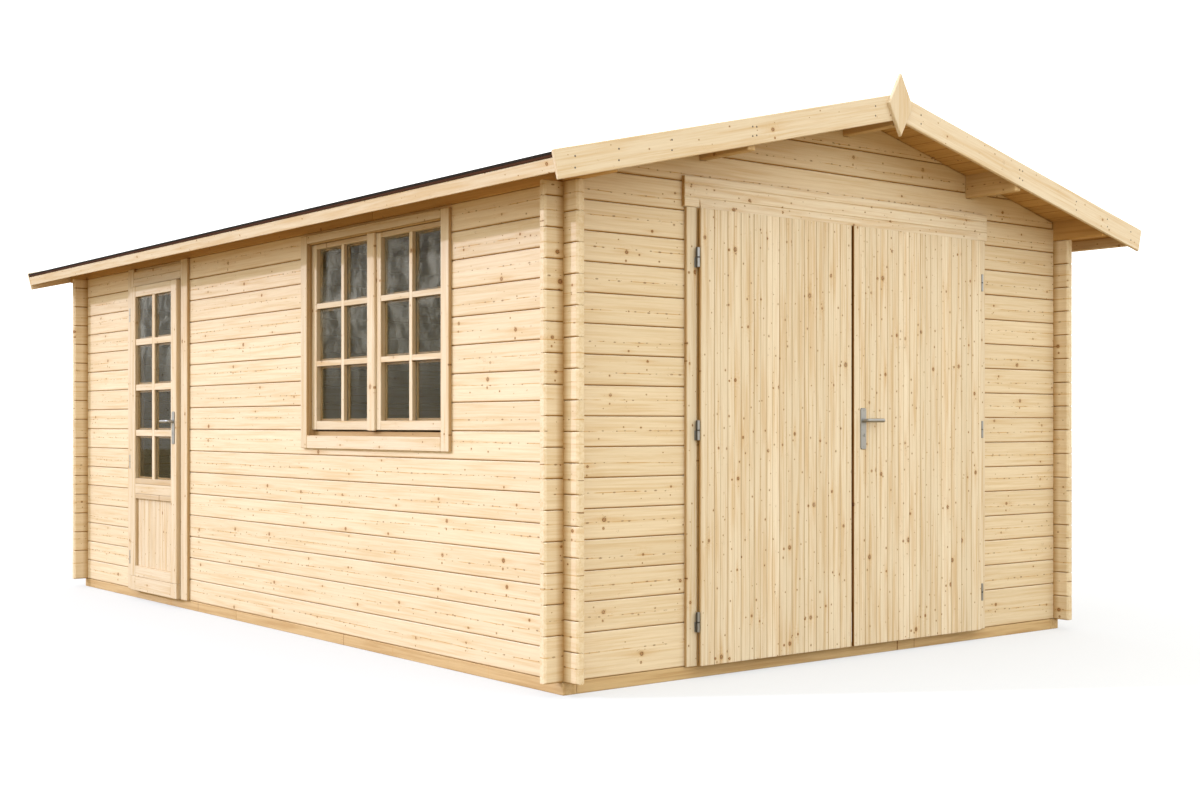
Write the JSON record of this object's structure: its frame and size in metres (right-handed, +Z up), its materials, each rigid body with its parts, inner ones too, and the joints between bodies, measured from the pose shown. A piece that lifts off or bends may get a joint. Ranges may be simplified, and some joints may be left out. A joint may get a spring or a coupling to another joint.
{
  "type": "wooden garage",
  "caption": "Log garage with a double door in the gable, a glazed side door and a double window in the side wall, and a low gable roof.",
  "frame": {"origin": "middle of the plan at ground level, at the foundation beams' undersides", "axes": "+X right along the front gable, +Y from the front gable to the back, +Z up"},
  "size_m": [4.0116, 6.246, 2.7625],
  "materials": {
    "log_spruce": "planed, untreated",
    "planed_spruce": "planed smooth, untreated",
    "frame_spruce": "planed, untreated",
    "beam_spruce": "sawn",
    "soffit_spruce": "planed, untreated",
    "bitumen_felt": "matt, mineral grit",
    "clear_glass": "clear",
    "satin_steel": "satin"
  },
  "bodies": {
    "building": {"foundation_side_beams": "beam_spruce", "foundation_cross_beams": "beam_spruce", "front_wall_left": "log_spruce", "front_wall_right": "log_spruce", "front_gable": "log_spruce", "back_wall": "log_spruce", "right_wall": "log_spruce", "left_wall_front": "log_spruce", "left_wall_middle": "log_spruce", "left_wall_rear": "log_spruce", "left_wall_under_window": "log_spruce", "left_wall_top": "log_spruce", "eave_logs": "log_spruce", "purlins": "log_spruce", "roof_boards_left": "soffit_spruce", "roof_boards_right": "soffit_spruce", "roof_felt": "bitumen_felt", "eave_fascias": "planed_spruce", "front_bargeboards": "planed_spruce", "back_bargeboards": "planed_spruce", "gable_diamonds": "planed_spruce", "double_door_jambs": "frame_spruce", "double_door_head": "frame_spruce", "double_door_trims": "planed_spruce", "double_door_header": "planed_spruce", "side_door_jambs": "frame_spruce", "side_door_head": "frame_spruce", "side_door_trims": "planed_spruce", "side_door_head_board": "planed_spruce", "hinge_pins": "satin_steel", "window_side_trims": "planed_spruce", "window_cross_trims": "planed_spruce", "window_frame_stiles": "frame_spruce", "window_frame_rails": "frame_spruce", "sash_stiles": "frame_spruce", "sash_rails": "frame_spruce", "window_glass": "clear_glass"},
    "left_leaf": {"left_leaf_boards": "planed_spruce", "left_leaf_rails": "frame_spruce", "left_leaf_hinges": "satin_steel"},
    "right_leaf": {"right_leaf_boards": "planed_spruce", "right_leaf_rails": "frame_spruce", "right_leaf_hinges": "satin_steel", "right_leaf_handle_plate": "satin_steel"},
    "right_lever": {"right_leaf_lever": "satin_steel"},
    "side_door": {"side_door_stiles": "frame_spruce", "side_door_rails": "frame_spruce", "side_door_glass": "clear_glass", "side_door_panel": "planed_spruce", "side_door_hinges": "satin_steel", "side_door_handle_plate": "satin_steel"},
    "side_lever": {"side_door_lever": "satin_steel"}
  },
  "joints": [
    {"name": "left_leaf_hinge", "type": "hinge", "parent": "building", "child": "left_leaf", "pos_m": [-0.9935, -2.811, 1.1], "axis": [0, 0, -1], "range_deg": [0, 110]},
    {"name": "right_leaf_hinge", "type": "hinge", "parent": "building", "child": "right_leaf", "pos_m": [0.9935, -2.811, 1.1], "axis": [0, 0, 1], "range_deg": [0, 110]},
    {"name": "right_lever_turn", "type": "hinge", "parent": "right_leaf", "child": "right_lever", "pos_m": [0.0725, -2.82, 1.145], "axis": [0, 1, 0], "range_deg": [0, 40], "stiffness_Nm_per_rad": 1.5, "springref_deg": -20.05},
    {"name": "side_door_hinge", "type": "hinge", "parent": "building", "child": "side_door", "pos_m": [-1.746, 1.851, 1.1], "axis": [0, 0, -1], "range_deg": [0, 110]},
    {"name": "side_lever_turn", "type": "hinge", "parent": "side_door", "child": "side_lever", "pos_m": [-1.755, 1.142, 1.145], "axis": [-1, 0, 0], "range_deg": [0, 40], "stiffness_Nm_per_rad": 1.5, "springref_deg": -20.05}
  ]
}
